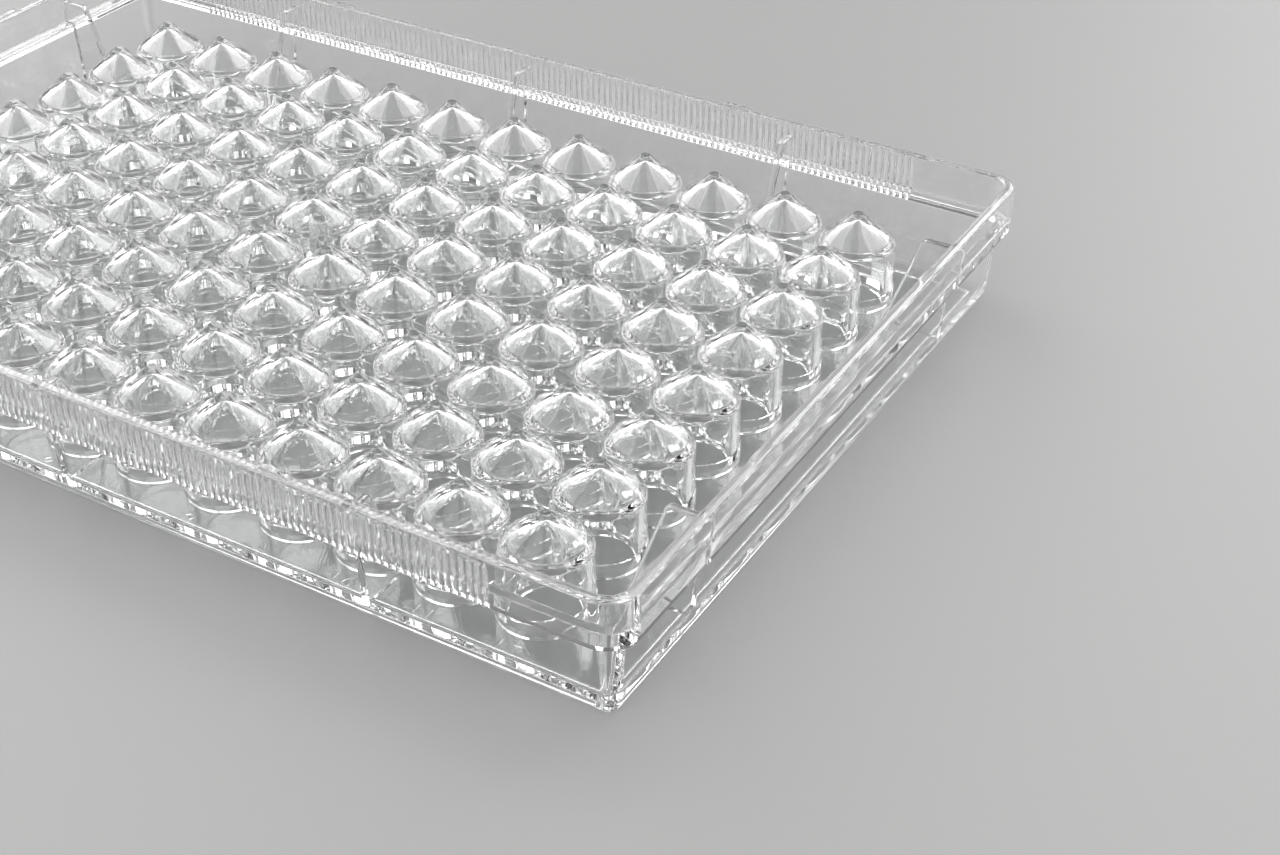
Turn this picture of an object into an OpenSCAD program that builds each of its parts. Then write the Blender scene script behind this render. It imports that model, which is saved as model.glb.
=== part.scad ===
// 96-well plate with conical wells, moulded in one piece.
// It lies upside down: the rims of the wells are on z = 0, the cones point up and the base flange is on top.
// The origin is under the middle of the plate. Columns run along X and rows along Y. Millimetres.

/* [Plate] */
// Length of the base flange
plate_l = 127.76; // [118:0.02:160]
// Width of the base flange
plate_w = 85.48; // [82:0.02:110]
// Overall height, from the rims of the wells to the feet of the base
plate_h = 14.35; // [11.7:0.05:20]
// Corner radius of the base flange
corner_r = 3.2; // [1:0.1:8]

/* [Base flange] */
// Height of the wider band at the base
flange_h = 5.2; // [3:0.1:6.5]
// Thickness of the band
flange_t = 1.2; // [0.8:0.05:1.6]
// Rounding of the rim's two edges
rim_r = 0.35; // [0.1:0.05:0.4]
// Thickness of the ledge that joins the band to the skirt wall
ledge_t = 1.2; // [0.8:0.05:2]

/* [Skirt wall] */
// Step from the face of the band in to the wall, at the ledge
step_in = 1.3; // [0.8:0.05:2]
// Extra step at the deck, because the wall leans in
lean_in = 0.6; // [0:0.05:1]
// Thickness of the wall
wall_t = 1.25; // [0.9:0.05:1.6]
// Rounding of the outer edge between the wall and the deck
edge_r = 1; // [0.2:0.05:1.1]
// Rounding inside, between the wall and the deck
root_r = 0.6; // [0.2:0.05:1]

/* [Deck] */
// Thickness of the deck
deck_t = 1.2; // [0.8:0.05:2]
// Height of the rims that stand out of the deck's face
lip_h = 0.4; // [0.2:0.05:0.8]
// Width of the flat border round the deck's face
border_w = 1.4; // [0.8:0.1:2]

/* [Wells] */
// Number of columns, along X
columns = 12; // [6:2:12]
// Number of rows, along Y
rows = 8; // [4:2:8]
// Distance between neighbouring wells
pitch = 9; // [8.6:0.05:9.6]
// Height of a well's closed tip over the plane of the mouths
well_h = 11; // [9:0.1:11.4]
// Diameter of a well's mouth and straight bore
mouth_d = 6.9; // [6:0.05:6.95]
// Thickness of a well's wall
well_t = 0.9; // [0.5:0.05:0.9]
// Height at which the outer wall meets the dome's cone
shoulder_z = 7.7; // [6:0.1:8.4]
// Rounding of the dome's shoulder
shoulder_r = 1; // [0.4:0.1:1.6]
// How far below the shoulder's height the inner cone starts
cone_drop = 0.2; // [0:0.1:3]
// Thickness of plastic left over the inner cone's tip
tip_t = 1; // [0.6:0.05:1.6]
// Diameter of the small flat at the inner cone's tip
tip_flat_d = 0.2; // [0.1:0.05:1.2]
// Extra radius of a mouth's rim and of the collar at the well's root
collar_step = 0.12; // [0.05:0.01:0.14]
// Height of the collar over the deck
collar_h = 0.9; // [0.4:0.1:2]
// Diameter of the witness ring on a dome's tip
ring_d = 1.2; // [0.8:0.1:2]
// How far the witness ring stands out of the cone
ring_h = 0.05; // [0.02:0.01:0.2]

/* [Gate stub] */
// Diameter of the stub in the middle of the deck
stub_d = 2.3; // [1.6:0.1:3]
// Height of the stub's top over the plane of the mouths
stub_h = 11; // [4:0.1:11.4]

/* [Gussets] */
// Thickness of each gusset
gusset_t = 0.9; // [0.6:0.05:1.2]
// Distance from the rim down to a gusset's top
gusset_drop = 1.15; // [0.6:0.05:2]
// Reach of a long side's gusset in from the flange's face, at its top
side_top = 3.8; // [3:0.1:5]
// Reach of a long side's gusset in from the flange's face, at the deck
side_foot = 8.2; // [6:0.1:9]
// Reach of a short end's gusset in from the flange's face, at its top
end_top = 4.8; // [4:0.1:6]
// Reach of a short end's gusset in from the flange's face, at the deck
end_foot = 8.7; // [6:0.1:10]
// Rounding of a gusset's top corner
gusset_r = 0.8; // [0.2:0.1:1.5]

/* [Grip ribs] */
// Distance between neighbouring ribs on the long sides
rib_pitch = 0.8; // [0.7:0.05:1.6]
// Length of the ribbed stretch on each long side
rib_run = 102.4; // [16:0.8:112]
// Depth of the grooves
rib_depth = 0.25; // [0.1:0.05:0.35]
// Plain height left between the ribs and the rim
rib_stop = 0.4; // [0.4:0.1:2]

/* [Feet] */
// Height of the low feet on the rim
foot_h = 0.35; // [0.2:0.05:0.5]
// Length of a foot's flat top
foot_l = 2.4; // [1:0.1:6]
// Length of the slope at each end of a foot
foot_slope = 0.8; // [0.4:0.1:2]
// Distance between a long side's two feet
side_feet = 57; // [30:0.5:80]
// Distance between a short end's two feet
end_feet = 36; // [20:0.5:56]

/* [Hidden] */
$fn = 48;
arc_steps = 6;
clear_plastic = [0.9, 0.94, 0.97, 0.55];

rim_z = plate_h - foot_h;
ledge_z = rim_z - flange_h;
deck_z = lip_h + deck_t;
half_l = plate_l / 2;
half_w = plate_w / 2;
grid_x = [for (c = [0 : columns - 1]) (c - (columns - 1) / 2) * pitch];
grid_y = [for (r = [0 : rows - 1]) (r - (rows - 1) / 2) * pitch];
// Gussets stand between two wells: after these columns on the long sides, and these rows on the ends
gusset_columns = [1, columns / 2 - 1, columns - 3];
gusset_rows = [0, rows - 2];

// How far in the wall's outer face is from the flange's face, at height z under the ledge
function face_in(z) = step_in + lean_in * (ledge_z - z) / ledge_z;

function unit(v) = v / norm(v);

// The points of an outline whose corner i is rounded to radius radii[i]; 0 leaves it sharp
function rounded(points, radii) = let (n = len(points)) [
    for (i = [0 : n - 1])
        let (
            b = points[i],
            u = unit(points[(i + n - 1) % n] - b),
            v = unit(points[(i + 1) % n] - b),
            r = radii[i]
        )
        each (r == 0 ? [b] : rounded_corner(b, u, v, r))
];

// The arc of radius r that touches both edges of corner b, which leave it along u and v
function rounded_corner(b, u, v, r) =
    let (
        half = acos(u * v) / 2,
        centre = b + unit(u + v) * r / sin(half),
        start = b + u * r / tan(half) - centre,
        turn = (u[0] * v[1] - u[1] * v[0] > 0 ? -1 : 1) * (180 - 2 * half)
    )
    [
        for (k = [0 : arc_steps])
            let (a = turn * k / arc_steps)
            centre + [start[0] * cos(a) - start[1] * sin(a), start[0] * sin(a) + start[1] * cos(a)]
    ];

// Section of the deck's border, the skirt wall, the ledge and the flange; x = 0 is the flange's outer face
module skirt_section() {
    border_in = face_in(0) + edge_r + border_w;
    ledge_top = ledge_z + ledge_t;
    polygon(rounded(
        [
            [-border_in, 0],
            [-face_in(0), 0],
            [-step_in, ledge_z],
            [0, ledge_z],
            [0, rim_z],
            [-flange_t, rim_z],
            [-flange_t, ledge_top],
            [-face_in(ledge_top) - wall_t, ledge_top],
            [-face_in(deck_z) - wall_t, deck_z],
            [-border_in, deck_z]
        ],
        [0, edge_r, 0, 0, rim_r, rim_r, 0, 0, root_r, 0]
    ));
}

// One straight stretch of a profile along X, centred, with its outer face at y = out
module along_x(length, out) {
    translate([-length / 2, out, 0])
        rotate([90, 0, 90])
            linear_extrude(length)
                children();
}

// One quarter turn of the skirt's profile about the corner's own axis
module skirt_corner() {
    rotate_extrude(angle = 90)
        intersection() {
            translate([corner_r, 0])
                skirt_section();
            square([corner_r, plate_h]);
        }
}

// Skirt wall and flange, all the way round
module skirt() {
    for (turn = [0, 180]) {
        rotate([0, 0, turn])
            along_x(plate_l - 2 * corner_r, half_w)
                skirt_section();
        rotate([0, 0, turn + 90])
            along_x(plate_w - 2 * corner_r, half_l)
                skirt_section();
    }
    for (x = [-1, 1], y = [-1, 1])
        translate([x * (half_l - corner_r), y * (half_w - corner_r), 0])
            rotate([0, 0, x > 0 ? (y > 0 ? 0 : 270) : (y > 0 ? 90 : 180)])
                skirt_corner();
}

module deck() {
    inset = face_in(deck_z) + wall_t;
    translate([-half_l + inset, -half_w + inset, lip_h])
        cube([plate_l - 2 * inset, plate_w - 2 * inset, deck_t]);
}

// The V-grooves that leave the grip ribs standing, cut into the long side whose face is at y = half_w
module grip_grooves() {
    count = round(rib_run / rib_pitch);
    half_run = count * rib_pitch / 2;
    groove_points = [
        for (i = [0 : count])
            each [
                [i * rib_pitch - half_run, half_w],
                if (i < count) [(i + 0.5) * rib_pitch - half_run, half_w - rib_depth]
            ]
    ];
    translate([0, 0, ledge_z - 1])
        linear_extrude(flange_h + 1 - rib_stop)
            polygon(concat(groove_points, [[half_run, half_w + 1], [-half_run, half_w + 1]]));
}

// Outside of one well: the mouth's rim, which goes through the deck into the collar, then the wall,
// the dome's shoulder, its cone and the witness ring
module well_body() {
    well_r = mouth_d / 2 + well_t;
    collar_r = well_r + collar_step;
    collar_top = deck_z + collar_h;
    rotate_extrude()
        polygon(rounded(
            [
                [0, 0],
                [collar_r, 0],
                [collar_r, collar_top],
                [well_r, collar_top],
                [well_r, shoulder_z],
                [ring_d / 2, well_h - ring_h],
                [ring_d / 2, well_h],
                [0, well_h]
            ],
            [0, 0, 0, 0, shoulder_r, 0, 0, 0]
        ));
}

// Inside of one well: a straight bore and then a cone that ends in a small flat
module well_cavity() {
    mouth_r = mouth_d / 2;
    cone_z = shoulder_z - cone_drop;
    rotate_extrude()
        polygon([
            [0, -1],
            [mouth_r, -1],
            [mouth_r, cone_z],
            [tip_flat_d / 2, well_h - tip_t],
            [0, well_h - tip_t]
        ]);
}

module at_wells() {
    for (x = grid_x, y = grid_y)
        translate([x, y, 0])
            children();
}

module gate_stub() {
    translate([0, 0, lip_h])
        cylinder(d = stub_d, h = stub_h - lip_h);
}

// One gusset in the plane y = 0, standing in from a flange face at x = 0 and rooted in the wall and the deck
module gusset(top_in, foot_in) {
    top_z = rim_z - gusset_drop;
    root_z = deck_z - deck_t / 2;
    knee_z = ledge_z + ledge_t / 2;
    rotate([90, 0, 0])
        linear_extrude(gusset_t, center = true)
            polygon(rounded(
                [
                    [-face_in(root_z) - wall_t / 2, root_z],
                    [-step_in - wall_t / 2, knee_z],
                    [-flange_t / 2, knee_z],
                    [-flange_t / 2, top_z],
                    [-top_in, top_z],
                    [-foot_in, deck_z],
                    [-foot_in, root_z]
                ],
                [0, 0, 0, 0, gusset_r, 0, 0]
            ));
}

module gussets() {
    for (side = [-90, 90], c = gusset_columns)
        translate([grid_x[c] + pitch / 2, sign(side) * half_w, 0])
            rotate([0, 0, side])
                gusset(side_top, side_foot);
    for (side = [0, 180], r = gusset_rows)
        translate([side == 0 ? half_l : -half_l, grid_y[r] + pitch / 2, 0])
            rotate([0, 0, side])
                gusset(end_top, end_foot);
}

// One low foot on the rim, centred on x = 0, under a flange face at y = 0
module foot() {
    translate([0, -flange_t / 2, rim_z])
        rotate([90, 0, 0])
            linear_extrude(flange_t - 2 * rim_r, center = true)
                polygon([
                    [-foot_l / 2 - foot_slope, 0],
                    [foot_l / 2 + foot_slope, 0],
                    [foot_l / 2, foot_h],
                    [-foot_l / 2, foot_h]
                ]);
}

module feet() {
    for (turn = [0, 180], s = [-0.5, 0.5]) {
        rotate([0, 0, turn])
            translate([s * side_feet, half_w, 0])
                foot();
        rotate([0, 0, turn + 90])
            translate([s * end_feet, half_l, 0])
                foot();
    }
}

module well_plate() {
    color(clear_plastic)
        difference() {
            union() {
                skirt();
                deck();
                at_wells()
                    well_body();
                gate_stub();
                gussets();
                feet();
            }
            at_wells()
                well_cavity();
            for (turn = [0, 180])
                rotate([0, 0, turn])
                    grip_grooves();
        }
}

well_plate();
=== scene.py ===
# %% [markdown]
# # A clear 96-well plate, lying upside down
#
# The object is one injection moulding in clear polystyrene: a thin deck with 96 conical wells, a skirt
# wall all round, and a wider base flange whose long sides carry fine grip ribs. It lies with the rims of
# its wells on the table, so the cones point up and the base flange is on top.
#
# Clear plastic shows every surface twice, once in front and once through the plastic. So the whole plate
# is built here as one closed skin with small fillets, because a ray of light that enters it has to leave
# it again through a surface that faces the right way. Pieces that merely overlap would show their hidden
# walls inside the plastic.

import math

import bmesh
import bpy
from mathutils import Matrix, Vector


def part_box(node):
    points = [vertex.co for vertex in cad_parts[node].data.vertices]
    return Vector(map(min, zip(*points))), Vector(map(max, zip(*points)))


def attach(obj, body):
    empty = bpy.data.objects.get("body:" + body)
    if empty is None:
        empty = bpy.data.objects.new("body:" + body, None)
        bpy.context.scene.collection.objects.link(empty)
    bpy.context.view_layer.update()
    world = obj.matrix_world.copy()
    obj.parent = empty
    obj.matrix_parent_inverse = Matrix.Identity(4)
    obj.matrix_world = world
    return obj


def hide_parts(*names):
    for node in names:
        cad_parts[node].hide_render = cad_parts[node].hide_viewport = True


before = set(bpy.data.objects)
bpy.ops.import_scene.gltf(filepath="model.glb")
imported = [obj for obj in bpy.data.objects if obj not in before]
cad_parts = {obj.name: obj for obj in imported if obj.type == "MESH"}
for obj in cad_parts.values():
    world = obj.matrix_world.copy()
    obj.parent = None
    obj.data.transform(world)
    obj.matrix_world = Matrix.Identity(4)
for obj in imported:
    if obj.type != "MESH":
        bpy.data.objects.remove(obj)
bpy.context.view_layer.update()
print("Its nodes are", sorted(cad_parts))

# %% [markdown]
# ## Sizes
#
# Everything is in metres, and `MM` turns the millimetres of a moulding drawing into them. The outside
# comes from the frame's own box. The 9 mm pitch and the 12 by 8 grid are the standard ones that
# pipettes and readers rely on. The rest are the sections of the walls, as a mould maker would list them.
#
# A name that ends in _R is a radius, _H a height, _T a thickness, _Z a height over the table. `STEP_IN` is
# how far the wall stands in from the flange at the ledge, and `LEAN_IN` how much more it leans in on its
# way down to the deck. `LIP_H` is how far the rims of the wells stand out of the deck.

# %% Sizes of the moulding
MM = 0.001
low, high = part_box("well_plate")
print("The plate reaches from z =", round(low.z / MM, 2), "to", round(high.z / MM, 2), "mm")
HALF_L = high.x / MM
HALF_W = high.y / MM
TOP_Z = high.z / MM

COLUMNS = 12
ROWS = 8
PITCH = 9.0

FOOT_H = 0.35
FLANGE_H = 5.2
FLANGE_T = 1.2
LEDGE_T = 1.2
STEP_IN = 1.3
LEAN_IN = 0.6
WALL_T = 1.25
CORNER_R = 3.2
DECK_T = 1.2
LIP_H = 0.4
BORDER_W = 1.4
EDGE_R = 1.0

RIM_Z = TOP_Z - FOOT_H
LEDGE_Z = RIM_Z - FLANGE_H
DECK_Z = LIP_H + DECK_T
print("Base rim at", round(RIM_Z, 2), "mm, ledge at", round(LEDGE_Z, 2), "mm, deck at", DECK_Z, "mm")

# %% [markdown]
# ## Rounded outlines
#
# A moulding has no truly sharp edge: each corner of its section has a small radius, and those radii are
# what catch the light. So every section below is written as a few corners with a radius each, and this
# helper turns each corner into a short arc that touches both of its edges.


# %% Round the corners of a section
def rounded_section(corners, steps=3, closed=True):
    """Points of a section given as (across, up, radius) corners."""
    points = []
    count = len(corners)
    for i, (across, up, radius) in enumerate(corners):
        here = Vector((across, up))
        at_an_end = not closed and i in (0, count - 1)
        if radius == 0 or at_an_end:
            points.append(here)
            continue
        before = (Vector(corners[i - 1][:2]) - here).normalized()
        after = (Vector(corners[(i + 1) % count][:2]) - here).normalized()
        half = before.angle(after) / 2
        centre = here + (before + after).normalized() * radius / math.sin(half)
        first = here + before * radius / math.tan(half) - centre
        turn = math.pi - 2 * half
        if before.x * after.y - before.y * after.x > 0:
            turn = -turn
        for k in range(steps + 1):
            points.append(centre + Matrix.Rotation(turn * k / steps, 2) @ first)
    return points


print("A square corner becomes", len(rounded_section([(0, 0, 1), (9, 0, 0), (0, 9, 0)])) - 2, "points")

# %% [markdown]
# ## One well with its square of deck
#
# A well is a body of revolution, so its two skins are drawn as half sections: the outside climbs from the
# deck over a collar, up the wall, round the dome's shoulder and up a shallow cone to the small ring that
# the mould's pin leaves. The inside goes from the deck's other face over the lip, in through the mouth and
# up to a conical tip. Each skin starts at a 9 mm square, so that neighbouring tiles share their edges and
# 96 of them close into one sheet. The alternative, cutting 96 holes with booleans, leaves long thin
# triangles round every mouth that would show as streaks in the plastic. A ring of 32 points looks round
# enough, and keeps the whole plate under 200,000 triangles.

# %% Sizes of a well
SEGMENTS = 32
WELL_R = 4.35
COLLAR_R = 4.47
COLLAR_TOP = DECK_Z + 0.9
SHOULDER_Z = 7.7
SHOULDER_R = 1.0
WELL_TOP = 11.0
RING_R = 0.6
RING_H = 0.05
RING_ROUND = 0.04
DIMPLE_R = 0.3
DIMPLE_D = 0.03
MOUTH_R = 3.45
BORE_R = 3.42
CONE_Z = 7.75
CONE_ROUND = 0.3
INNER_TIP = WELL_TOP - 1.0
INNER_TIP_R = 0.1
LIP_ROUND = 0.1
print("A well is", 2 * WELL_R, "mm across and", WELL_TOP, "mm high, with", INNER_TIP, "mm of depth")


# %% Half sections of a well
def outside_section():
    """Half section of a well's outside, from the deck to the tip's dimple."""
    ring_foot = WELL_TOP - RING_H
    collar = rounded_section([
        (COLLAR_R, DECK_Z, 0),
        (COLLAR_R, COLLAR_TOP, LIP_ROUND),
        (WELL_R, COLLAR_TOP, 0),
    ], 1, False)
    dome = rounded_section([
        (WELL_R, COLLAR_TOP, 0),
        (WELL_R, SHOULDER_Z, SHOULDER_R),
        (RING_R, ring_foot, 0),
    ], 4, False)
    ring = rounded_section([
        (RING_R, ring_foot, 0),
        (RING_R, WELL_TOP, RING_ROUND),
        (DIMPLE_R, WELL_TOP - DIMPLE_D, 0),
    ], 1, False)
    return collar + dome[1:] + ring[1:]


def inside_section():
    """Half section of a well's inside, from the deck's face over the lip to the conical tip."""
    lip = rounded_section([
        (COLLAR_R, LIP_H, 0),
        (COLLAR_R, 0, LIP_ROUND),
        (MOUTH_R, 0, 0),
    ], 1, False)
    mouth = rounded_section([
        (COLLAR_R, 0, 0),
        (MOUTH_R, 0, LIP_ROUND),
        (BORE_R, CONE_Z, 0),
    ], 1, False)
    bore = rounded_section([
        (MOUTH_R, 0, 0),
        (BORE_R, CONE_Z, CONE_ROUND),
        (INNER_TIP_R, INNER_TIP, 0),
    ], 2, False)
    return lip[:-1] + mouth[1:-1] + bore[1:]


print("Outside", len(outside_section()), "rings, inside", len(inside_section()), "rings")


# %% Rings and bands of a turned skin
def add_ring(mesh, radius, up):
    """A ring of vertices about the vertical axis."""
    ring = []
    for k in range(SEGMENTS):
        a = 2 * math.pi * k / SEGMENTS
        ring.append(mesh.verts.new((radius * math.cos(a) * MM, radius * math.sin(a) * MM, up * MM)))
    return ring


def add_square(mesh, up):
    """The tile's square edge, with one vertex for each vertex of a ring."""
    verts = []
    for k in range(SEGMENTS):
        a = 2 * math.pi * k / SEGMENTS
        reach = PITCH / 2 / max(abs(math.cos(a)), abs(math.sin(a)))
        verts.append(mesh.verts.new((reach * math.cos(a) * MM, reach * math.sin(a) * MM, up * MM)))
    return verts


def add_band(mesh, ring_a, ring_b):
    """A band of quads between two rings."""
    count = len(ring_a)
    for k in range(count):
        n = (k + 1) % count
        mesh.faces.new((ring_a[k], ring_a[n], ring_b[n], ring_b[k]))


print("Points in a ring:", SEGMENTS)


# %% Revolve both sections into one tile
def well_tile():
    """One well and its 9 mm square of deck, as a mesh object."""
    mesh = bmesh.new()
    for section, up in ((outside_section(), DECK_Z), (inside_section(), LIP_H)):
        last = add_square(mesh, up)
        for point in section:
            ring = add_ring(mesh, point.x, point.y)
            add_band(mesh, last, ring)
            last = ring
        tip = sum(v.co.z for v in last) / SEGMENTS
        middle = mesh.verts.new((0, 0, tip))
        for k in range(SEGMENTS):
            mesh.faces.new((last[k], last[(k + 1) % SEGMENTS], middle))
    data = bpy.data.meshes.new("well_tile")
    mesh.to_mesh(data)
    mesh.free()
    tile = bpy.data.objects.new("well_tile", data)
    bpy.context.scene.collection.objects.link(tile)
    return tile


tile = well_tile()
print("One tile has", len(tile.data.polygons), "faces")

# %% [markdown]
# ## Repeat the wells over the grid
#
# The wells repeat by a rule, so Geometry Nodes place them: a grid of points, one instance of the tile on
# each, and then Realize Instances and Merge by Distance, which welds the shared edges of neighbouring
# squares. The counts and the pitch stay named inputs of the tree, so the same tree would make a plate of
# 24 or 384 wells.


# %% Start a node tree
def new_tree(name, inputs):
    """A Geometry Nodes tree with a geometry input and output, and an input for each (name, type, value)."""
    tree = bpy.data.node_groups.new(name, "GeometryNodeTree")
    tree.interface.new_socket("Geometry", in_out="INPUT", socket_type="NodeSocketGeometry")
    tree.interface.new_socket("Geometry", in_out="OUTPUT", socket_type="NodeSocketGeometry")
    for label, kind, value in inputs:
        socket = tree.interface.new_socket(label, in_out="INPUT", socket_type=kind)
        if value is not None:
            socket.default_value = value
    start = tree.nodes.new("NodeGroupInput")
    end = tree.nodes.new("NodeGroupOutput")
    return tree, start, end


# %% Nodes that count and repeat
def number_node(tree, operation, *values):
    """A Math node. Each value is a number to set or an output to link."""
    node = tree.nodes.new("ShaderNodeMath")
    node.operation = operation
    for socket, value in zip(node.inputs, values):
        if isinstance(value, bpy.types.NodeSocket):
            tree.links.new(value, socket)
        else:
            socket.default_value = value
    return node.outputs[0]


def repeat_on(tree, start, end, points, weld=None):
    """Put the incoming shape on every point, make the copies real, weld them if asked, and paint them."""
    link = tree.links.new
    place = tree.nodes.new("GeometryNodeInstanceOnPoints")
    link(points.outputs["Mesh"], place.inputs["Points"])
    link(start.outputs["Geometry"], place.inputs["Instance"])
    realize = tree.nodes.new("GeometryNodeRealizeInstances")
    link(place.outputs["Instances"], realize.inputs["Geometry"])
    made = realize.outputs["Geometry"]
    if weld:
        merge = tree.nodes.new("GeometryNodeMergeByDistance")
        link(made, merge.inputs["Geometry"])
        link(start.outputs[weld], merge.inputs["Distance"])
        made = merge.outputs["Geometry"]
    paint = tree.nodes.new("GeometryNodeSetMaterial")
    link(made, paint.inputs["Geometry"])
    link(start.outputs["Material"], paint.inputs["Material"])
    link(paint.outputs["Geometry"], end.inputs["Geometry"])


# %% Run a tree and keep its mesh
def apply_tree(piece, tree, values):
    """Run a tree on a piece and keep the result as its plain mesh. Inputs are set by identifier."""
    modifier = piece.modifiers.new(tree.name, "NODES")
    modifier.node_group = tree
    for item in tree.interface.items_tree:
        if item.item_type == "SOCKET" and item.in_out == "INPUT" and item.name in values:
            modifier[item.identifier] = values[item.name]
    return keep_result(piece)


def keep_result(piece):
    """Turn the evaluated piece into a plain mesh and take its modifiers off."""
    graph = bpy.context.evaluated_depsgraph_get()
    data = bpy.data.meshes.new_from_object(piece.evaluated_get(graph))
    old = piece.data
    piece.modifiers.clear()
    piece.data = data
    bpy.data.meshes.remove(old)
    return piece


# %% Build and run the grid tree
WELD_GAP = 0.001


def well_grid_tree():
    """Copies of the incoming tile on a grid of points, welded into one sheet."""
    tree, start, end = new_tree("well_grid", [
        ("Columns", "NodeSocketInt", COLUMNS),
        ("Rows", "NodeSocketInt", ROWS),
        ("Pitch", "NodeSocketFloat", PITCH * MM),
        ("Weld distance", "NodeSocketFloat", WELD_GAP * MM),
        ("Material", "NodeSocketMaterial", None),
    ])
    points = tree.nodes.new("GeometryNodeMeshGrid")
    for count, axis in (("Columns", "X"), ("Rows", "Y")):
        gaps = number_node(tree, "SUBTRACT", start.outputs[count], 1)
        span = number_node(tree, "MULTIPLY", gaps, start.outputs["Pitch"])
        tree.links.new(span, points.inputs["Size " + axis])
        tree.links.new(start.outputs[count], points.inputs["Vertices " + axis])
    repeat_on(tree, start, end, points, weld="Weld distance")
    return tree


plastic = bpy.data.materials.new("clear_polystyrene")
wells = apply_tree(tile, well_grid_tree(), {
    "Columns": COLUMNS,
    "Rows": ROWS,
    "Pitch": PITCH * MM,
    "Weld distance": WELD_GAP * MM,
    "Material": plastic,
})
print("The sheet of wells has", len(wells.data.vertices), "vertices,", len(wells.data.polygons), "faces")

# %% [markdown]
# ## Skirt, ledge and base flange
#
# Round the wells runs a wall with one section all the way: it leans in a little towards the deck, because
# the mould has to slide off it, and steps out at the ledge into the base flange. A sweep of that section
# round a rectangle with round corners is the direct way. The corners turn about one axis each, so the
# radius shrinks from the outside in, and inside it ends as the nearly sharp corner that a mould core has.

# %% Section of the skirt
BORDER_IN = STEP_IN + LEAN_IN + EDGE_R + BORDER_W
DECK_EDGE_IN = BORDER_IN + 0.3
ROOT_ROUND = 0.6
RIM_ROUND = 0.35
INSIDE_ROUND = 0.3
LEDGE_ROUND = 0.25
SMALL_ROUND = 0.15


def face_in(up):
    """How far in the wall's outer face is from the flange's face."""
    return STEP_IN + LEAN_IN * (LEDGE_Z - up) / LEDGE_Z


def skirt_section():
    """The skirt from the deck's inner face, over the wall and the flange, to the deck's outer face."""
    ledge_top = LEDGE_Z + LEDGE_T
    wall_top = -face_in(ledge_top) - WALL_T
    wall_foot = -face_in(DECK_Z) - WALL_T
    return rounded_section([
        (-DECK_EDGE_IN, DECK_Z, 0),
        (wall_foot, DECK_Z, ROOT_ROUND),
        (wall_top, ledge_top, INSIDE_ROUND),
        (-FLANGE_T, ledge_top, LEDGE_ROUND),
        (-FLANGE_T, RIM_Z, RIM_ROUND),
        (0, RIM_Z, RIM_ROUND),
        (0, LEDGE_Z, SMALL_ROUND),
        (-STEP_IN, LEDGE_Z, SMALL_ROUND),
        (-face_in(0), 0, EDGE_R),
        (-BORDER_IN, 0, SMALL_ROUND),
        (-BORDER_IN, LIP_H, LIP_ROUND),
        (-DECK_EDGE_IN, LIP_H, 0),
    ], 3, False)


print("The skirt's section has", len(skirt_section()), "points")

# %% Sweep it round the plate and close the deck
CORNER_STEPS = 8
TOLERANCE = 1e-6


def corner_loop(mesh, across, up):
    """A rectangle with round corners, across millimetres outside the flange's face."""
    radius = max(CORNER_R + across, SMALL_ROUND)
    loop = []
    for quarter in range(4):
        side_x = 1 if quarter in (0, 3) else -1
        side_y = 1 if quarter in (0, 1) else -1
        centre_x = side_x * (HALF_L + across - radius)
        centre_y = side_y * (HALF_W + across - radius)
        for k in range(CORNER_STEPS + 1):
            a = math.pi / 2 * (quarter + k / CORNER_STEPS)
            spot = (centre_x + radius * math.cos(a), centre_y + radius * math.sin(a), up)
            loop.append(mesh.verts.new([v * MM for v in spot]))
    return loop


def open_edges(mesh, up):
    """The mesh's open edges at one height."""
    level = up * MM
    found = []
    for edge in mesh.edges:
        if edge.is_boundary and all(abs(v.co.z - level) < TOLERANCE for v in edge.verts):
            found.append(edge)
    return found


def add_skirt(piece):
    """Sweep the skirt round the sheet of wells and fill the two faces of the deck between them."""
    mesh = bmesh.new()
    mesh.from_mesh(piece.data)
    last = None
    for point in skirt_section():
        loop = corner_loop(mesh, point.x, point.y)
        if last:
            add_band(mesh, last, loop)
        last = loop
    for up in (DECK_Z, LIP_H):
        bmesh.ops.triangle_fill(mesh, edges=open_edges(mesh, up), use_beauty=True, normal=(0, 0, 1))
    bmesh.ops.recalc_face_normals(mesh, faces=mesh.faces)
    still_open = sum(1 for e in mesh.edges if not e.is_manifold)
    mesh.to_mesh(piece.data)
    mesh.free()
    return still_open


print("Edges left open in the plate's skin:", add_skirt(wells))

# %% [markdown]
# ## Parts that grow out of the skin
#
# Gussets, the gate stub and the feet stand on faces that are already there. Each is made as a small closed
# solid that starts a little inside the plastic, and a Boolean with the Manifold solver fuses it to the
# skin. That solver needs closed shapes and gives a closed shape back, which is just what clear plastic
# needs: after the union no hidden wall is left where the two met.


# %% Make a piece, and fuse or cut it
def new_piece(name, mesh):
    """A linked object made from a bmesh, with its normals facing out."""
    bmesh.ops.recalc_face_normals(mesh, faces=mesh.faces)
    data = bpy.data.meshes.new(name)
    mesh.to_mesh(data)
    mesh.free()
    piece = bpy.data.objects.new(name, data)
    bpy.context.scene.collection.objects.link(piece)
    return piece


def combine(piece, tool, operation):
    """Fuse a closed tool to a piece, or cut it out, and throw the tool away."""
    modifier = piece.modifiers.new("combine", "BOOLEAN")
    modifier.solver = "MANIFOLD"
    modifier.operation = operation
    modifier.object = tool
    keep_result(piece)
    bpy.data.objects.remove(tool)


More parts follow.
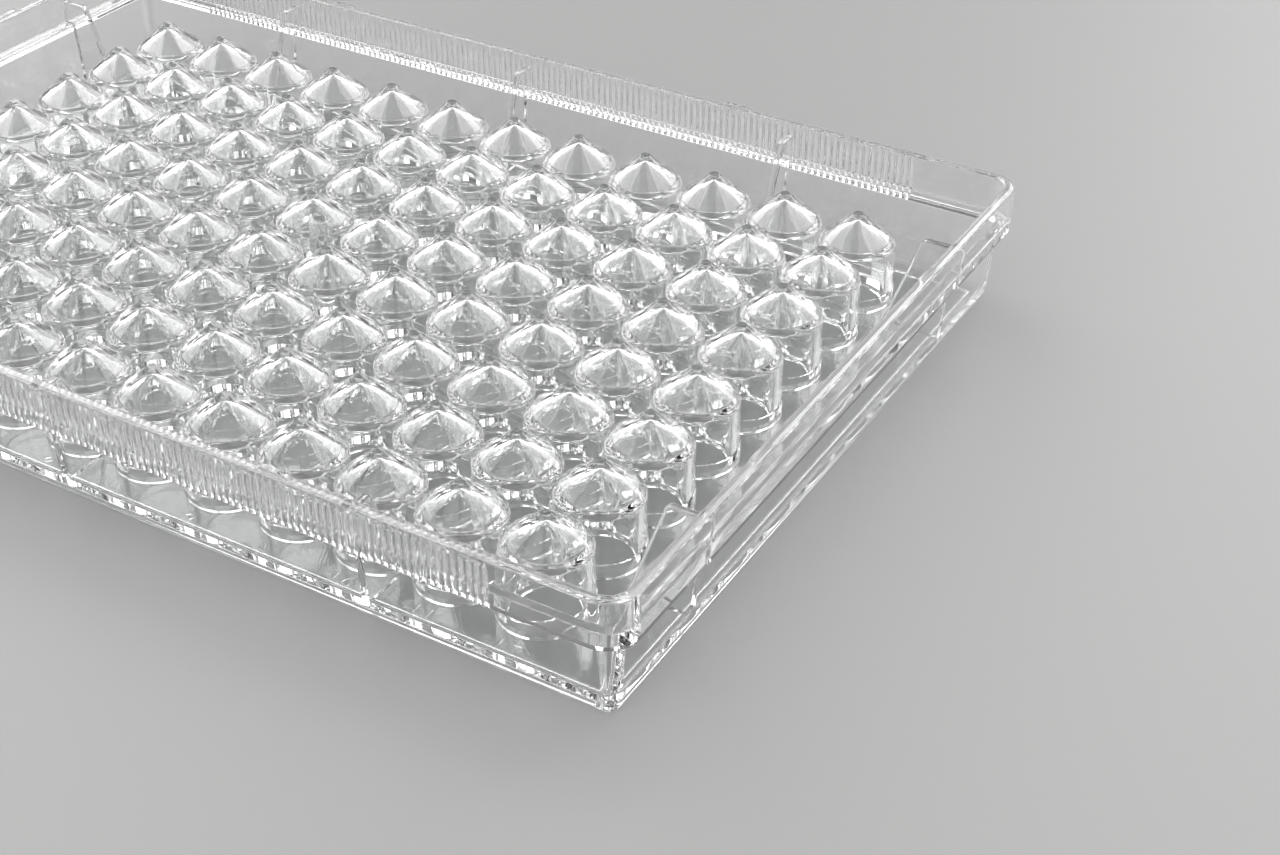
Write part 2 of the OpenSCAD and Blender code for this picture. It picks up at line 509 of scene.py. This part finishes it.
# %% A slab, and its place on a side
def add_slab(mesh, outline, thickness, matrix, bevel):
    """A flat plate: an (x, z) outline in mm, centred on y = 0, with bevelled edges, moved by a matrix."""
    near = [mesh.verts.new((p.x * MM, -thickness / 2 * MM, p.y * MM)) for p in outline]
    face = mesh.faces.new(near)
    grown = bmesh.ops.extrude_face_region(mesh, geom=[face])["geom"]
    far = [v for v in grown if isinstance(v, bmesh.types.BMVert)]
    bmesh.ops.translate(mesh, verts=far, vec=(0, thickness * MM, 0))
    if bevel:
        rims = [e for e in mesh.edges if abs(e.verts[0].co.y - e.verts[1].co.y) < TOLERANCE]
        bmesh.ops.bevel(mesh, geom=rims, offset=bevel * MM, segments=2, profile=0.5, affect="EDGES")
    bmesh.ops.transform(mesh, matrix=matrix, verts=mesh.verts)


def on_side(turn, along, reach):
    """The place of a slab whose x = 0 is the flange's face on one side and whose y runs along it."""
    return Matrix.Rotation(math.radians(turn), 4, "Z") @ Matrix.Translation((reach * MM, along * MM, 0))


# %% [markdown]
# ## Gussets
#
# Ten thin plates tie the flange to the deck: three on each long side and two on each short end, each in
# the gap between two wells. Their inner edge slopes, so that the mould can be pulled off them.
#
# A scaled cube would miss the slope and the rounded nose. So each gusset is an outline with a thickness,
# and a bevel along its edges gives the clear plastic a rim that catches the light.

# %% Fuse the gussets
GUSSET_T = 0.9
GUSSET_TOP = RIM_Z - 1.15
GUSSET_NOSE_R = 0.8
GUSSET_ROUND = 0.28
LONG_SIDE_DEPTHS = (3.8, 8.2)
SHORT_SIDE_DEPTHS = (4.8, 8.7)


def gusset_outline(top_in, foot_in):
    """Side view of a gusset, across the flange's face and up."""
    root_z = DECK_Z - DECK_T / 2
    knee_z = LEDGE_Z + LEDGE_T / 2
    return rounded_section([
        (-face_in(root_z) - WALL_T / 2, root_z, 0),
        (-STEP_IN - WALL_T / 2, knee_z, 0),
        (-FLANGE_T / 2, knee_z, 0),
        (-FLANGE_T / 2, GUSSET_TOP, 0),
        (-top_in, GUSSET_TOP, GUSSET_NOSE_R),
        (-foot_in, DECK_Z, 0),
        (-foot_in, root_z, 0),
    ], 4)


def fuse_gussets(piece):
    """Three gussets on each long side and two on each short end."""
    places = [(turn, step, HALF_W, LONG_SIDE_DEPTHS) for turn in (90, 270) for step in (-4, 0, 4)]
    places += [(turn, step, HALF_L, SHORT_SIDE_DEPTHS) for turn in (0, 180) for step in (-3, 3)]
    for turn, step, reach, depths in places:
        mesh = bmesh.new()
        place = on_side(turn, step * PITCH, reach)
        add_slab(mesh, gusset_outline(*depths), GUSSET_T, place, GUSSET_ROUND)
        combine(piece, new_piece("gusset", mesh), "UNION")
    return len(places)


print("Gussets fused:", fuse_gussets(wells))

# %% [markdown]
# ## Gate stub
#
# Molten plastic entered the mould in the middle of the deck, between the four centre wells. The stub that
# the gate leaves there is a small round post. It is turned from a half section like a well, because a
# plain cylinder has neither the fillet at the root nor the soft top.

# %% Fuse the gate stub
STUB_R = 1.15
STUB_ROOT_R = STUB_R + 0.4
STUB_FILLET = 0.25
STUB_TOP = 11.0
STUB_TOP_ROUND = 0.3
STUB_TOP_FLAT_R = 0.2
STUB_SUNK = 0.4
FILLET_SUNK = 0.05


def gate_stub():
    """A round post with a soft top, whose small root fillet starts just inside the deck."""
    mesh = bmesh.new()
    fillet_z = DECK_Z - FILLET_SUNK
    section = rounded_section([
        (STUB_ROOT_R, fillet_z, 0),
        (STUB_R, fillet_z, STUB_FILLET),
        (STUB_R, STUB_TOP, STUB_TOP_ROUND),
        (STUB_TOP_FLAT_R, STUB_TOP, 0),
    ], 3, False)
    bottom = add_ring(mesh, STUB_ROOT_R, DECK_Z - STUB_SUNK)
    mesh.faces.new(bottom)
    last = bottom
    for point in section:
        ring = add_ring(mesh, point.x, point.y)
        add_band(mesh, last, ring)
        last = ring
    mesh.faces.new(last)
    return new_piece("gate_stub", mesh)


combine(wells, gate_stub(), "UNION")
print("Vertices with the stub:", len(wells.data.vertices))

# %% [markdown]
# ## Feet on the base rim
#
# When the plate stands the right way up it touches the bench on eight low feet, two on each side. They are
# only a third of a millimetre high, but they break the highlight that runs along the rim. They could be
# drawn out of the rim's own faces, but a fused slab keeps the sweep of the rim simple.

# %% Fuse the feet
FOOT_L = 2.4
FOOT_SLOPE = 1.0
FOOT_T = FLANGE_T - 0.6
FOOT_SUNK = 0.1
LONG_SIDE_FEET = (-28.5, 28.5)
SHORT_SIDE_FEET = (-18, 18)


def fuse_feet(piece):
    """Two sloped feet on each side of the rim."""
    places = [(turn, along, HALF_W) for turn in (90, 270) for along in LONG_SIDE_FEET]
    places += [(turn, along, HALF_L) for turn in (0, 180) for along in SHORT_SIDE_FEET]
    half = FOOT_L / 2
    root = half + FOOT_SLOPE
    root_z = RIM_Z - FOOT_SUNK
    outline = [Vector(p) for p in ((-root, root_z), (root, root_z), (half, TOP_Z), (-half, TOP_Z))]
    quarter = Matrix.Rotation(math.pi / 2, 4, "Z")
    for turn, along, reach in places:
        mesh = bmesh.new()
        add_slab(mesh, outline, FOOT_T, on_side(turn, along, reach - FLANGE_T / 2) @ quarter, 0)
        combine(piece, new_piece("foot", mesh), "UNION")
    return len(places)


print("Feet fused:", fuse_feet(wells))

# %% [markdown]
# ## Grip ribs
#
# Fine upright grooves give the fingers of a person or a robot some grip on the long sides. They start at
# the flange's lower edge and run out just under the rim. One groove is modelled as a small closed cutter,
# Geometry Nodes repeat it along a line, and one Boolean for each side cuts the whole row. A bump in the
# material would be cheaper, but it would leave the flange flat in the exported mesh.

# %% Cut the grip ribs
RIB_PITCH = 0.8
RIB_COUNT = 128
GROOVE_W = 0.62
GROOVE_D = 0.22
GROOVE_POINTS = 7
UNDER_LEDGE = 0.5
FADE_START = 1.1
FADE_END = 0.4
FADED_D = 0.05
SPARE = 0.3


def groove_cutter():
    """One groove in the face at x = 0, from under the flange to where it fades out below the rim."""
    mesh = bmesh.new()
    last = None
    faded = GROOVE_D - FADED_D
    stations = (
        (LEDGE_Z - UNDER_LEDGE, 0),
        (RIM_Z - FADE_START, 0),
        (RIM_Z - FADE_END, faded),
        (RIM_Z + SPARE, faded),
    )
    for up, out in stations:
        loop = []
        for k in range(GROOVE_POINTS):
            t = 2 * k / (GROOVE_POINTS - 1) - 1
            depth = GROOVE_D * math.cos(t * math.pi / 2)
            loop.append(mesh.verts.new(((out - depth) * MM, t * GROOVE_W / 2 * MM, up * MM)))
        loop.append(mesh.verts.new(((out + SPARE) * MM, GROOVE_W / 2 * MM, up * MM)))
        loop.append(mesh.verts.new(((out + SPARE) * MM, -GROOVE_W / 2 * MM, up * MM)))
        if last:
            add_band(mesh, last, loop)
        else:
            mesh.faces.new(loop)
        last = loop
    mesh.faces.new(last)
    return new_piece("groove", mesh)


def row_tree():
    """Copies of the incoming shape along a straight line, centred."""
    tree, start, end = new_tree("row_along_line", [
        ("Count", "NodeSocketInt", RIB_COUNT),
        ("Spacing", "NodeSocketFloat", RIB_PITCH * MM),
        ("Reach", "NodeSocketFloat", HALF_W * MM),
        ("Material", "NodeSocketMaterial", None),
    ])
    link = tree.links.new
    gaps = number_node(tree, "SUBTRACT", start.outputs["Count"], 1)
    run = number_node(tree, "MULTIPLY", gaps, start.outputs["Spacing"])
    first = number_node(tree, "MULTIPLY", run, -0.5)
    begin = tree.nodes.new("ShaderNodeCombineXYZ")
    link(start.outputs["Reach"], begin.inputs["X"])
    link(first, begin.inputs["Y"])
    step = tree.nodes.new("ShaderNodeCombineXYZ")
    link(start.outputs["Spacing"], step.inputs["Y"])
    points = tree.nodes.new("GeometryNodeMeshLine")
    link(start.outputs["Count"], points.inputs["Count"])
    link(begin.outputs[0], points.inputs["Start Location"])
    link(step.outputs[0], points.inputs["Offset"])
    repeat_on(tree, start, end, points)
    return tree


def cut_ribs(piece):
    """A row of grooves on each long side."""
    tree = row_tree()
    for turn in (90, 270):
        row = apply_tree(groove_cutter(), tree, {
            "Count": RIB_COUNT,
            "Spacing": RIB_PITCH * MM,
            "Reach": HALF_W * MM,
            "Material": plastic,
        })
        row.data.transform(Matrix.Rotation(math.radians(turn), 4, "Z"))
        combine(piece, row, "DIFFERENCE")


def triangle_count(piece):
    """How many triangles the piece's faces make."""
    return sum(len(face.vertices) - 2 for face in piece.data.polygons)


cut_ribs(wells)
print("The plate has", triangle_count(wells), "triangles")

# %% [markdown]
# ## Moulded grid letters
#
# So that nobody loses count, the deck's face carries raised characters: a number for each column, a
# letter for each row, and beside every well its own small label, from A1 to H12. They face the side that
# the mouths are on, so in this pose they are seen from behind, through the deck. The built-in font gives
# the outlines. Each text curve gets a thickness and becomes a mesh, and one Boolean fuses them all.

# %% Fuse the letters
LETTER_RISE = 0.08
LETTER_DEPTH = LETTER_RISE + 0.2
CAPITAL_SHARE = 0.7
NUMBER_H = 2.0
LABEL_H = 1.5
ROW_LETTER_H = 2.4
NUMBERS_IN = 4.9
ROW_LETTERS_IN = 7.2
LOOSE_GAP = 0.0001
ROW_NAMES = "ABCDEFGH"


def add_text(mesh, body, x, y, height):
    """Raised characters on the deck's face, centred on a point and read from the side of the mouths."""
    curve = bpy.data.curves.new("text", "FONT")
    curve.body = body
    curve.size = height * MM / CAPITAL_SHARE
    curve.align_x = "CENTER"
    curve.align_y = "CENTER"
    curve.resolution_u = 1
    curve.extrude = LETTER_DEPTH / 2 * MM
    holder = bpy.data.objects.new("text", curve)
    bpy.context.scene.collection.objects.link(holder)
    graph = bpy.context.evaluated_depsgraph_get()
    data = bpy.data.meshes.new_from_object(holder.evaluated_get(graph))
    up = (LIP_H - LETTER_RISE + LETTER_DEPTH / 2) * MM
    data.transform(Matrix.Translation((x * MM, y * MM, up)) @ Matrix.Rotation(math.pi, 4, "X"))
    mesh.from_mesh(data)
    bpy.data.objects.remove(holder)
    bpy.data.curves.remove(curve)
    bpy.data.meshes.remove(data)


def on_grid(index, count):
    """How far a well is from the plate's middle, in mm, when count of them stand in line."""
    return (index - (count - 1) / 2) * PITCH


def grid_letters():
    """Column numbers by row A, row letters by column 1, and a label beside every well."""
    mesh = bmesh.new()
    for column in range(COLUMNS):
        x = on_grid(column, COLUMNS)
        add_text(mesh, str(column + 1), x, -HALF_W + NUMBERS_IN, NUMBER_H)
        for row in range(ROWS):
            label = ROW_NAMES[row] + str(column + 1)
            add_text(mesh, label, x - PITCH / 2, on_grid(row, ROWS) + PITCH / 2, LABEL_H)
    for row in range(ROWS):
        add_text(mesh, ROW_NAMES[row], -HALF_L + ROW_LETTERS_IN, on_grid(row, ROWS), ROW_LETTER_H)
    bmesh.ops.remove_doubles(mesh, verts=mesh.verts, dist=LOOSE_GAP * MM)
    bmesh.ops.dissolve_degenerate(mesh, edges=mesh.edges, dist=LOOSE_GAP * MM)
    loose = sum(1 for e in mesh.edges if len(e.link_faces) != 2)
    print("Characters:", len(mesh.faces), "faces,", loose, "edges that aren't shared by two faces")
    return new_piece("grid_letters", mesh)


combine(wells, grid_letters(), "UNION")
print("With its letters the plate has", triangle_count(wells), "triangles")

# %% [markdown]
# ## Soft shading across the facets
#
# The mesh is faceted, but the moulding is round, and flat shading would show 32 stripes on every well. So
# every face is shaded smooth and the edges that turn more than 40 degrees are marked sharp. A Weighted
# Normal modifier then lets the large faces decide the normals, so that flat walls stay flat right up to
# their small round edges.


# %% Smooth the plate
def soften(piece, material, sharp_above=40):
    """One material, smooth shading, sharp edges by angle, and normals led by the large faces."""
    piece.data.materials.clear()
    piece.data.materials.append(material)
    for face in piece.data.polygons:
        face.material_index = 0
        face.use_smooth = True
    piece.data.set_sharp_from_angle(angle=math.radians(sharp_above))
    weights = piece.modifiers.new("weights", "WEIGHTED_NORMAL")
    weights.mode = "FACE_AREA"
    weights.keep_sharp = True
    return keep_result(piece)


plate = soften(wells, plastic)
plate.name = "well_plate_moulding"
print("Plate ready:", len(plate.data.polygons), "faces")

# %% [markdown]
# ## Clear polystyrene
#
# The plate is moulded in clear polystyrene, which bends light more than glass (index 1.59). Three things
# keep it from looking like a perfect lens: the surface has a very faint flow waviness, handling leaves a
# few patches of haze, and the faces of the characters are a little duller, because that part of the mould
# isn't polished. The waviness and the haze come from one node group, so that other moulded finishes can
# share it. The index and the transmission stay on the shader's own sockets.
#
# The polished rest has no roughness at all. That is true to a new moulding, and it also saves a lot of
# time: at a perfectly smooth surface the renderer only follows the ray, and asks no lamp for its light.
#
# A path tracer can't find the light that a clear body focuses on the floor, and would leave a black
# shadow. So for shadow rays the shader turns into a plain transparent one that lets most light through.


# %% Node group: moulded surface
HAZE_STARTS = 0.62
HAZE_FULL = 0.85
WAVE_DEPTH = 0.0002


def moulded_surface():
    """Roughness from patches of haze, and a wavy normal, in object coordinates."""
    group = bpy.data.node_groups.new("moulded_surface", "ShaderNodeTree")
    for label, value in (("Haze", 0.08), ("Haze scale", 180.0), ("Waviness", 0.02), ("Wave scale", 60.0)):
        socket = group.interface.new_socket(label, in_out="INPUT", socket_type="NodeSocketFloat")
        socket.default_value = value
    group.interface.new_socket("Roughness", in_out="OUTPUT", socket_type="NodeSocketFloat")
    group.interface.new_socket("Normal", in_out="OUTPUT", socket_type="NodeSocketVector")
    node = group.nodes.new
    link = group.links.new
    start = node("NodeGroupInput")
    end = node("NodeGroupOutput")
    place = node("ShaderNodeTexCoord")
    patches = node("ShaderNodeTexNoise")
    patches.inputs["Detail"].default_value = 1.0
    link(place.outputs["Object"], patches.inputs["Vector"])
    link(start.outputs["Haze scale"], patches.inputs["Scale"])
    only_some = node("ShaderNodeMapRange")
    only_some.inputs["From Min"].default_value = HAZE_STARTS
    only_some.inputs["From Max"].default_value = HAZE_FULL
    link(patches.outputs["Fac"], only_some.inputs["Value"])
    link(start.outputs["Haze"], only_some.inputs["To Max"])
    flow = node("ShaderNodeTexNoise")
    flow.inputs["Detail"].default_value = 0.0
    link(place.outputs["Object"], flow.inputs["Vector"])
    link(start.outputs["Wave scale"], flow.inputs["Scale"])
    bump = node("ShaderNodeBump")
    bump.inputs["Distance"].default_value = WAVE_DEPTH
    link(start.outputs["Waviness"], bump.inputs["Strength"])
    link(flow.outputs["Fac"], bump.inputs["Height"])
    link(only_some.outputs["Result"], end.inputs["Roughness"])
    link(bump.outputs["Normal"], end.inputs["Normal"])
    return group


surface = moulded_surface()
print("Node group made:", surface.name)


# %% Material: clear polystyrene
POLYSTYRENE_INDEX = 1.59
LEVEL_BAND = 0.01


def clear_polystyrene(material, dull_level, dullness=0.1):
    """Clear glossy plastic with duller faces at one height, which lets light through to the floor."""
    material.use_nodes = True
    tree = material.node_tree
    nodes = tree.nodes
    link = tree.links.new
    shader = nodes["Principled BSDF"]
    shader.inputs["Base Color"].default_value = (0.985, 0.988, 0.988, 1)
    shader.inputs["Transmission Weight"].default_value = 1.0
    shader.inputs["Metallic"].default_value = 0.0
    shader.inputs["IOR"].default_value = POLYSTYRENE_INDEX
    finish = nodes.new("ShaderNodeGroup")
    finish.node_tree = surface
    place = nodes.new("ShaderNodeTexCoord")
    split = nodes.new("ShaderNodeSeparateXYZ")
    link(place.outputs["Object"], split.inputs[0])
    at_level = number_node(tree, "COMPARE", split.outputs["Z"], dull_level * MM, LEVEL_BAND * MM)
    roughness = number_node(tree, "MULTIPLY_ADD", at_level, dullness, finish.outputs["Roughness"])
    link(roughness, shader.inputs["Roughness"])
    link(finish.outputs["Normal"], shader.inputs["Normal"])
    through = nodes.new("ShaderNodeBsdfTransparent")
    through.inputs["Color"].default_value = (0.88, 0.885, 0.885, 1)
    rays = nodes.new("ShaderNodeLightPath")
    mix = nodes.new("ShaderNodeMixShader")
    link(rays.outputs["Is Shadow Ray"], mix.inputs["Fac"])
    link(shader.outputs["BSDF"], mix.inputs[1])
    link(through.outputs["BSDF"], mix.inputs[2])
    link(mix.outputs["Shader"], nodes["Material Output"].inputs["Surface"])


clear_polystyrene(plastic, LIP_H - LETTER_RISE)
print("Material ready:", plastic.name)

# %% [markdown]
# ## Floor, light and camera
#
# Clear plastic has no colour of its own: it shows the room. On a pale floor its edges read as thin dark
# and bright lines, and they need something dark and something bright to pick up. So the world is a mid
# grey, and four large soft panels stand round the plate.
#
# Each cone works as a mirror: light that comes from behind, to its left or to its right, is reflected
# inside the plastic and leaves it towards the camera as a white fan on that side. A panel straight behind
# would fall between the two fans and flare on every flat face instead. So the two back panels stand
# about 80 degrees apart. They are tall, because the inner part of a fan mirrors what is higher up, and
# so the fans fade softly towards the middle of the cone. Two weaker panels stand opposite them. They
# soften the shadow, and give the plate its fans when it is seen from behind.
#
# The camera looks down over the near right corner at about 35 degrees. It stands close, about 22 cm from
# the middle of the plate, so what is at the near corner looks about 1.7 times as large as at the far one.


# %% Floor
FLOOR_GAP = 0.0001
FLOOR_R = 3.0


def floor():
    """A large pale disc under the plate, with a satin finish."""
    mesh = bmesh.new()
    bmesh.ops.create_circle(mesh, cap_ends=True, segments=96, radius=FLOOR_R)
    data = bpy.data.meshes.new("floor")
    mesh.to_mesh(data)
    mesh.free()
    disc = bpy.data.objects.new("floor", data)
    bpy.context.scene.collection.objects.link(disc)
    material = bpy.data.materials.new("pale_floor")
    material.use_nodes = True
    shader = material.node_tree.nodes["Principled BSDF"]
    shader.inputs["Base Color"].default_value = (0.35, 0.349, 0.347, 1)
    shader.inputs["Roughness"].default_value = 0.45
    data.materials.append(material)
    return disc


ground = floor()
ground.location.z = -FLOOR_GAP
print("Floor laid")


# %% Lights
PANEL_ELEVATION = 42
PANEL_DISTANCE = 1.1
PANEL_WIDTH = 0.8
PANEL_HEIGHT = 1.1


def soft_panel(name, azimuth, brightness):
    """A tall panel of light that faces the plate from an azimuth in degrees."""
    a = math.radians(azimuth)
    e = math.radians(PANEL_ELEVATION)
    data = bpy.data.lights.new(name, "AREA")
    data.shape = "RECTANGLE"
    data.size = PANEL_WIDTH
    data.size_y = PANEL_HEIGHT
    data.energy = math.pi * PANEL_WIDTH * PANEL_HEIGHT * brightness
    direction = Vector((math.cos(e) * math.cos(a), math.cos(e) * math.sin(a), math.sin(e)))
    place = direction * PANEL_DISTANCE
    lamp = bpy.data.objects.new(name, data)
    lamp.location = place
    lamp.rotation_euler = (-place).to_track_quat("-Z", "Y").to_euler()
    bpy.context.scene.collection.objects.link(lamp)
    return lamp


soft_panel("right_back_panel", 79, 3.4)
soft_panel("left_back_panel", 157, 3.0)
soft_panel("left_front_panel", 257, 1.3)
soft_panel("right_front_panel", 340, 1.3)
world = bpy.data.worlds.new("studio")
world.use_nodes = True
room = world.node_tree.nodes["Background"]
room.inputs["Color"].default_value = (0.5, 0.5, 0.505, 1)
room.inputs["Strength"].default_value = 0.34
bpy.context.scene.world = world
print("Panels placed:", [light.name for light in bpy.data.lights])


# %% Camera
CAMERA_PLACE = (126.276, -146.662, 115.776)
CAMERA_LENS = 56.15
SENSOR_WIDTH = 36.0


def camera_at(place, lens, azimuth, elevation, roll):
    """A camera at a place in mm, with its line of sight and its roll in degrees."""
    a = math.radians(azimuth)
    e = math.radians(elevation)
    r = math.radians(roll)
    back = Vector((math.sin(a) * math.cos(e), -math.cos(a) * math.cos(e), math.sin(e)))
    right = Vector((0, 0, 1)).cross(back).normalized()
    up = back.cross(right)
    turned_right = right * math.cos(r) + up * math.sin(r)
    turned_up = up * math.cos(r) - right * math.sin(r)
    data = bpy.data.cameras.new("camera")
    data.lens = lens
    data.sensor_width = SENSOR_WIDTH
    data.sensor_fit = "HORIZONTAL"
    data.clip_start = 0.01
    data.clip_end = 20.0
    camera = bpy.data.objects.new("camera", data)
    turn = Matrix((turned_right, turned_up, back)).transposed().to_4x4()
    camera.matrix_world = Matrix.Translation(Vector(place) * MM) @ turn
    bpy.context.scene.collection.objects.link(camera)
    bpy.context.scene.camera = camera
    return camera


camera_at(CAMERA_PLACE, CAMERA_LENS, azimuth=30.327, elevation=34.72, roll=0.403)
print("Camera placed, with a lens of", CAMERA_LENS, "mm")

# %% [markdown]
# ## How far the light is followed
#
# Light that enters the skirt or a dome's shoulder is reflected many times inside the plastic before it
# finds a way out, and a path that is cut short on the way shows as black. So the limits for reflected and
# transmitted bounces are high. The floor takes its light straight from the panels and the sky, which keeps
# the light that the cones focus on it from turning into grain. The noise threshold lets the plain floor
# stop early, so that the time goes to the plate.

# %% Bounces and colour
BOUNCES = 28
cycles = bpy.context.scene.cycles
cycles.max_bounces = BOUNCES
cycles.transmission_bounces = BOUNCES
cycles.glossy_bounces = BOUNCES
cycles.diffuse_bounces = 0
cycles.transparent_max_bounces = 16
cycles.adaptive_threshold = 0.1
bpy.context.scene.view_settings.view_transform = "Standard"
print("Up to", cycles.max_bounces, "bounces")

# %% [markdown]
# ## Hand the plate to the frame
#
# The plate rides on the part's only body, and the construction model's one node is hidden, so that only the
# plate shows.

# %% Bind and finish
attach(plate, "root")
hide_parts("well_plate")
